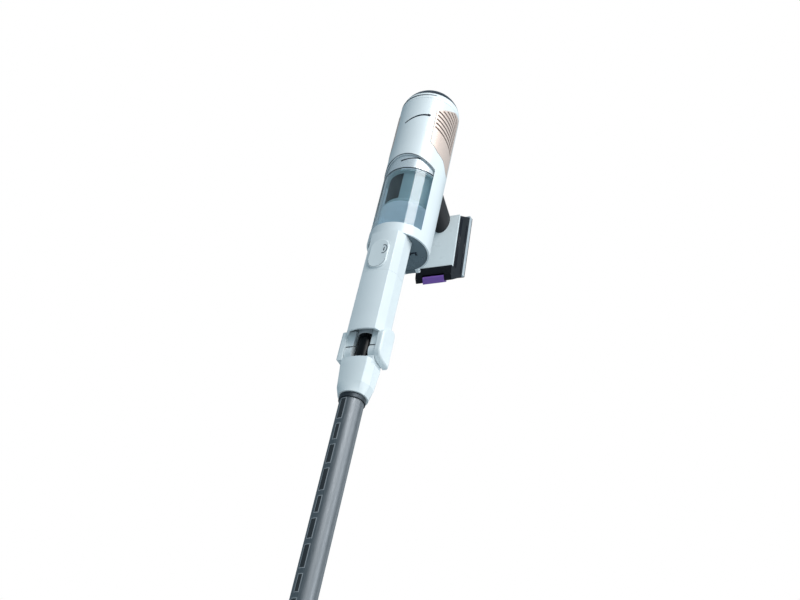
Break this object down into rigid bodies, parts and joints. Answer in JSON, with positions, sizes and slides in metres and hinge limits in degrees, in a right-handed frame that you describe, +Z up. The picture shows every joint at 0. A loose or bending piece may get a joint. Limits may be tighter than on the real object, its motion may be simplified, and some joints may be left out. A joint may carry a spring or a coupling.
{
  "type": "cordless stick vacuum",
  "caption": "Upright cordless stick vacuum: floor head, pitch and swivel neck, metal tube, folding wand joint, handheld cyclone with clear cup, pistol grip and sliding battery.",
  "frame": {"origin": "on the floor, under the middle of the bounding box", "axes": "+X to the right, +Y to the rear (battery side), +Z up; the front of the head is -Y"},
  "size_m": [0.254, 0.2876, 1.1697],
  "materials": {
    "white_shell": "cool white, satin gloss",
    "white_trim": "cool white, gloss",
    "rose_panel": "rose beige metallic, satin",
    "silver_trim": "satin silver",
    "clear_cup": "clear, lightly smoked",
    "smoked_door": "smoked translucent",
    "dark_gloss": "gloss near-black",
    "black_plastic": "matte black, fine grain",
    "grey_sleeve": "light grey, satin",
    "shroud_steel": "dark perforated mesh",
    "tube_metal": "grey anodised, satin",
    "steel": "bright steel",
    "impeller": "cast, satin",
    "rubber": "black, soft gloss",
    "wheel_tyre": "dark grey",
    "felt": "grey felt",
    "filter_foam": "pale filter foam",
    "bristle": "nylon bristle and soft fins",
    "purple_tab": "purple, satin",
    "cell_wrap": "printed-free cell sleeve"
  },
  "bodies": {
    "floor_head": {"head_base": "black_plastic", "head_cover": "white_shell", "head_end_cap_left": "white_trim", "head_end_cap_right": "white_trim", "front_bumper": "rubber", "headlight_lens": "clear_cup", "glide_pads": "felt", "head_screws": "steel", "head_pins": "steel", "head_motor": "steel", "drive_belt": "rubber"},
    "brush": {"brush_core": "black_plastic", "brush_strips": "bristle", "brush_pulley": "black_plastic"},
    "motor_pulley": {"motor_pulley": "black_plastic"},
    "wheel_left": {"wheel_left": "wheel_tyre"},
    "wheel_right": {"wheel_right": "wheel_tyre"},
    "neck": {"neck_yoke": "black_plastic"},
    "lower_wand": {"neck_socket": "white_shell", "wand_tube": "tube_metal", "tube_collar_ring": "black_plastic", "lower_knuckle": "white_shell", "flex_pins": "steel", "flex_hose": "rubber"},
    "head_release_button": {"head_release_button": "white_trim"},
    "handheld": {"upper_wand": "white_shell", "hose_cuff": "grey_sleeve", "nozzle": "white_shell", "inlet_duct": "black_plastic", "main_shell": "white_shell", "side_panel_left": "rose_panel", "side_panel_right": "rose_panel", "rear_spine": "black_plastic", "dust_cup": "clear_cup", "cup_trim_band": "silver_trim", "shroud_mesh": "shroud_steel", "separator_cone": "grey_sleeve", "door_hinge_pin": "steel", "pre_filter": "filter_foam", "motor_mount": "black_plastic", "motor_can": "steel", "motor_stator": "steel", "post_filter": "filter_foam", "filter_ring": "white_shell", "top_cap": "dark_gloss", "display_lens": "dark_gloss", "grip": "black_plastic", "battery_dock": "white_trim"},
    "flex_lock_button": {"flex_lock_button": "white_trim"},
    "wand_release_button": {"wand_release_button": "white_trim"},
    "cup_door": {"cup_door": "smoked_door", "door_seal": "rubber"},
    "door_latch": {"door_latch": "black_plastic"},
    "rotor": {"impeller_rotor": "impeller"},
    "mode_button": {"mode_button": "black_plastic"},
    "trigger": {"trigger": "black_plastic"},
    "battery": {"battery_case": "black_plastic", "battery_back": "silver_trim", "battery_cells": "cell_wrap"},
    "battery_release": {"battery_release": "purple_tab"}
  },
  "joints": [
    {"name": "brush_spin", "type": "hinge", "parent": "floor_head", "child": "brush", "pos_m": [0, -0.1, 0.0255], "axis": [1, 0, 0], "continuous": true},
    {"name": "motor_pulley_spin", "type": "hinge", "parent": "floor_head", "child": "motor_pulley", "pos_m": [0.105, -0.052, 0.031], "axis": [1, 0, 0], "continuous": true},
    {"name": "wheel_left_spin", "type": "hinge", "parent": "floor_head", "child": "wheel_left", "pos_m": [-0.054, 0.0225, 0.019], "axis": [1, 0, 0], "continuous": true},
    {"name": "wheel_right_spin", "type": "hinge", "parent": "floor_head", "child": "wheel_right", "pos_m": [0.054, 0.0225, 0.019], "axis": [1, 0, 0], "continuous": true},
    {"name": "neck_pitch", "type": "hinge", "parent": "floor_head", "child": "neck", "pos_m": [0, -0.0403, 0.034], "axis": [-1, 0, 0], "range_deg": [0, 75]},
    {"name": "neck_swivel", "type": "hinge", "parent": "neck", "child": "lower_wand", "pos_m": [0, -0.0403, 0.082], "axis": [0, 0, 1], "range_deg": [-80, 80]},
    {"name": "head_release_press", "type": "slide", "parent": "lower_wand", "child": "head_release_button", "axis": [0, 1, 0], "range_m": [0, 0.0025], "stiffness_N_per_m": 400, "springref_m": -0.0015},
    {"name": "wand_flex", "type": "hinge", "parent": "lower_wand", "child": "handheld", "pos_m": [0, -0.0403, 0.646], "axis": [1, 0, 0], "range_deg": [0, 90], "deforming": ["flex_hose"]},
    {"name": "flex_lock_press", "type": "slide", "parent": "handheld", "child": "flex_lock_button", "axis": [0, -1, 0], "range_m": [0, 0.0022], "stiffness_N_per_m": 400, "springref_m": -0.0015},
    {"name": "wand_release_press", "type": "slide", "parent": "handheld", "child": "wand_release_button", "axis": [0, 1, 0], "range_m": [0, 0.0025], "stiffness_N_per_m": 400, "springref_m": -0.0015},
    {"name": "cup_door_swing", "type": "hinge", "parent": "handheld", "child": "cup_door", "pos_m": [0, 0.0332, 0.852], "axis": [1, 0, 0], "range_deg": [0, 95]},
    {"name": "door_latch_slide", "type": "slide", "parent": "cup_door", "child": "door_latch", "axis": [0, 1, 0], "range_m": [0, 0.004], "stiffness_N_per_m": 200, "springref_m": -0.002},
    {"name": "rotor_spin", "type": "hinge", "parent": "handheld", "child": "rotor", "pos_m": [0, -0.0163, 1.05], "axis": [0, 0, 1], "continuous": true},
    {"name": "mode_press", "type": "slide", "parent": "handheld", "child": "mode_button", "axis": [0, 0, -1], "range_m": [0, 0.0015], "stiffness_N_per_m": 400, "springref_m": -0.0015},
    {"name": "trigger_pull", "type": "slide", "parent": "handheld", "child": "trigger", "axis": [0, 0.3846, 0.9231], "range_m": [0, 0.005], "stiffness_N_per_m": 300, "springref_m": -0.0015},
    {"name": "battery_slide", "type": "slide", "parent": "handheld", "child": "battery", "axis": [0, 0.0995, -0.995], "range_m": [0, 0.1]},
    {"name": "battery_release_press", "type": "slide", "parent": "battery", "child": "battery_release", "axis": [0, -0.0995, 0.995], "range_m": [0, 0.0015], "stiffness_N_per_m": 400, "springref_m": -0.0015}
  ],
  "couplings": [
    {"joint": "motor_pulley_spin", "follows": "brush_spin", "ratio": 1.4286}
  ]
}
